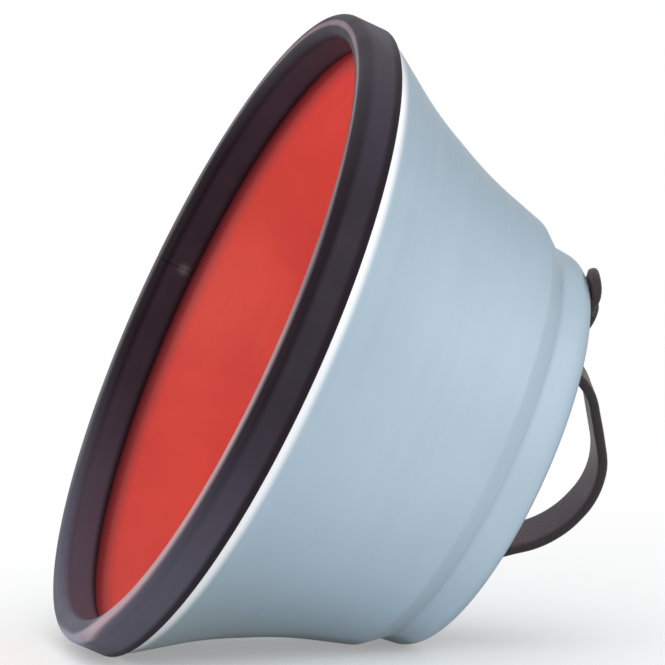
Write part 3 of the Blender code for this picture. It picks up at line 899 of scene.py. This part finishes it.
def make_screw(where, foot, finish):
    """The low-headed screw with its cross recess. Returns where its tip is."""
    seat = STRAP_WASHER_AT + STRAP_WASHER_THICKNESS + GAP
    top = seat + HEAD_HEIGHT
    tip = seat - SCREW_LENGTH
    screw = lathe("low_screw_" + where, rounded([
        (0, top, 0),
        (HEAD_RADIUS, top, HEAD_FILLET),
        (HEAD_RADIUS, seat, 0),
        (SCREW_RADIUS, seat, 0),
        (SCREW_RADIUS, tip + SCREW_TIP_CHAMFER, 0),
        (SCREW_RADIUS - SCREW_TIP_CHAMFER, tip, 0),
        (0, tip, 0),
    ]), SMALL_STEPS, foot)
    for turn in (0, math.pi / 2):
        shape = bmesh.new()
        bmesh.ops.create_cube(shape, size=1)
        bmesh.ops.scale(shape, vec=(RECESS_LENGTH, RECESS_WIDTH, 2 * RECESS_DEPTH), verts=shape.verts)
        spot = foot @ Matrix.Translation((0, 0, top)) @ Matrix.Rotation(turn, 4, "Z")
        combine(screw, finished("recess", shape, spot))
    dress(screw, finish, "strap_hardware", "strap_screw_" + where)
    return tip


def flat_washer(name, radius, low, thickness, foot):
    """A flat washer with its edges rounded."""
    high = low + thickness
    points = rounded([
        (BORE_RADIUS, high, WASHER_EDGE_FILLET / 2),
        (radius, high, WASHER_EDGE_FILLET),
        (radius, low, WASHER_EDGE_FILLET / 2),
        (BORE_RADIUS, low, WASHER_EDGE_FILLET / 2),
    ])
    return lathe(name, points, SMALL_STEPS, foot)


def make_washers(where, foot, finishes):
    """The washer in the leather, and the fibre and steel washers inside. Returns the nut's seat."""
    washer = flat_washer(
        "black_washer_" + where, STRAP_WASHER_RADIUS, STRAP_WASHER_AT, STRAP_WASHER_THICKNESS, foot)
    dress(washer, finishes["black"], "strap_hardware", "strap_washer_" + where)
    low = LINING_FLOOR_AT - GAP - FIBRE_WASHER_THICKNESS
    washer = flat_washer(
        "inner_fibre_washer_" + where, FIBRE_WASHER_RADIUS, low, FIBRE_WASHER_THICKNESS, foot)
    dress(washer, finishes["fibre"], "fibre", "fibre_washer_" + where)
    low -= GAP + STEEL_WASHER_THICKNESS
    washer = flat_washer("zinc_washer_" + where, STEEL_WASHER_RADIUS, low, STEEL_WASHER_THICKNESS, foot)
    dress(washer, finishes["zinc"], "washer", "steel_washer_" + where)
    return low - GAP


def make_nut(where, foot, seat, screw_tip, finish):
    """The cap nut: a chamfered hexagon and a dome over the screw's tip."""
    corner = NUT_FLATS / 2 / math.cos(math.pi / HEX_STEPS)
    nut = rod("nickel_nut_" + where, corner, seat - NUT_HEIGHT, seat, foot, HEX_STEPS)
    combine(nut, lathe("barrel", [
        (0, seat),
        (corner - NUT_CHAMFER, seat),
        (corner + NUT_CHAMFER, seat - 2 * NUT_CHAMFER),
        (corner + NUT_CHAMFER, seat - NUT_HEIGHT + 2 * NUT_CHAMFER),
        (corner - NUT_CHAMFER, seat - NUT_HEIGHT),
        (0, seat - NUT_HEIGHT),
    ], SMALL_STEPS, foot), "INTERSECT")
    bore_end = screw_tip - GAP
    dome_end = bore_end - DOME_WALL
    combine(nut, lathe("dome", rounded([
        (0, seat - NUT_HEIGHT / 2, 0),
        (DOME_RADIUS, seat - NUT_HEIGHT / 2, 0),
        (DOME_RADIUS, dome_end, DOME_FILLET),
        (0, dome_end, 0),
    ]), SMALL_STEPS, foot), "UNION")
    combine(nut, rod("bore", BORE_RADIUS, bore_end, seat + GAP, foot))
    dress(nut, finish, "nut", "cap_nut_" + where)


def make_fasteners():
    """Both feet's screws, washers and nuts."""
    finishes = {
        "black": metal_material("blackened_steel", BLACKENED_STEEL, roughness=0.34, metallic=0.85),
        "zinc": metal_material("zinc_plate", ZINC, roughness=0.28, metallic=1.0),
        "nickel": metal_material("bright_nickel", NICKEL, roughness=0.12, metallic=1.0),
        "fibre": fibre_material(),
    }
    for side, where in ((1, "upper"), (-1, "lower")):
        foot = STRAP_FRAME @ Matrix.Translation((side * SCREW_REACH, 0, 0))
        screw_tip = make_screw(where, foot, finishes["black"])
        nut_seat = make_washers(where, foot, finishes)
        make_nut(where, foot, nut_seat, screw_tip, finishes["nickel"])


def aimed(name, data, place, target):
    """A camera or lamp at a place, looking at a target."""
    made = linked(name, data)
    made.location = place
    made.rotation_mode = "QUATERNION"
    made.rotation_quaternion = (Vector(target) - Vector(place)).to_track_quat("-Z", "Y")
    return made


def make_camera():
    """The camera at the photograph's viewing angle."""
    direction = Vector((
        math.sin(CAMERA_AZIMUTH) * math.cos(CAMERA_ELEVATION),
        -math.cos(CAMERA_AZIMUTH) * math.cos(CAMERA_ELEVATION),
        math.sin(CAMERA_ELEVATION),
    ))
    turn = (-direction).to_track_quat("-Z", "Y")
    target = MUTE @ Vector((0, 0, TARGET_ALONG))
    aim = target + turn @ Vector((TARGET_RIGHT, TARGET_UP, 0))
    data = bpy.data.cameras.new("camera")
    data.lens = CAMERA_LENS
    data.sensor_width = CAMERA_SENSOR
    data.clip_start, data.clip_end = CAMERA_CLIP
    bpy.context.scene.camera = aimed("camera", data, target + direction * CAMERA_DISTANCE, aim)


def lamp(name, place, size, power):
    """A soft square lamp."""
    data = bpy.data.lights.new(name, "AREA")
    data.energy = power
    data.size = size
    aimed(name, data, place, LAMP_AIM)


def seen_or_reflected(tree):
    """1 for what is seen directly, mirrored or through glass, and 0 for light on diffuse surfaces."""
    paths = add_node(tree, "ShaderNodeLightPath").outputs
    first = maths(tree, "MAXIMUM", paths["Is Camera Ray"], paths["Is Glossy Ray"])
    return maths(tree, "MAXIMUM", first, paths["Is Transmission Ray"])


def make_world():
    """A white world, a little weaker as light on diffuse surfaces."""
    world = bpy.data.worlds.new("studio")
    bpy.context.scene.world = world
    world.use_nodes = True
    tree = world.node_tree
    background = tree.nodes["Background"]
    background.inputs["Color"].default_value = (1, 1, 1, 1)
    strength = spread(tree, seen_or_reflected(tree), 0, 1, *WORLD_STRENGTHS, smooth=False)
    tree.links.new(strength, background.inputs["Strength"])


def floor_material():
    """A pale diffuse floor that glows a little where it is seen, and fades out far from the mute."""
    made = bpy.data.materials.new("pale_floor")
    made.use_nodes = True
    tree = made.node_tree
    tree.nodes.clear()
    place = add_node(tree, "ShaderNodeTexCoord").outputs["Object"]
    away = add_node(tree, "ShaderNodeVectorMath", {0: place}, operation="LENGTH").outputs["Value"]
    pale = add_node(tree, "ShaderNodeBsdfDiffuse", {"Color": FLOOR_COLOUR}).outputs[0]
    strength = product(tree, seen_or_reflected(tree), FLOOR_GLOW)
    glow = add_node(tree, "ShaderNodeEmission", {"Strength": strength}).outputs[0]
    lit = add_node(tree, "ShaderNodeAddShader", {0: pale, 1: glow}).outputs[0]
    clear = add_node(tree, "ShaderNodeBsdfTransparent").outputs[0]
    fade = spread(tree, away, *FLOOR_FADE)
    surface = add_node(tree, "ShaderNodeMixShader", {0: fade, 1: lit, 2: clear}).outputs[0]
    output = add_node(tree, "ShaderNodeOutputMaterial")
    tree.links.new(surface, output.inputs["Surface"])
    return made


def make_floor():
    """The floor, which keeps the shadow."""
    shape = bmesh.new()
    bmesh.ops.create_circle(shape, cap_ends=True, segments=FLOOR_STEPS, radius=FLOOR_RADIUS)
    mesh = bpy.data.meshes.new("floor")
    shape.to_mesh(mesh)
    shape.free()
    floor = linked("floor", mesh)
    mesh.materials.append(floor_material())


def make_lamps():
    """The key, a strong low light from the left for the mouth, a fill and a light from above."""
    lamp("key", (-0.9, -1.6, 1.1), size=2.4, power=5)
    lamp("left", (-1.5, -1.2, 0.15), size=1.6, power=13.5)
    lamp("fill", (1.4, -1.2, 0.8), size=2.4, power=3)
    lamp("top", (0.1, 0.3, 1.9), size=2.4, power=5.8)


make_camera()
make_bell()
make_lining()
make_trim()
make_strap()
make_fasteners()
make_world()
make_floor()
make_lamps()

bpy.context.scene.view_settings.view_transform = "Standard"
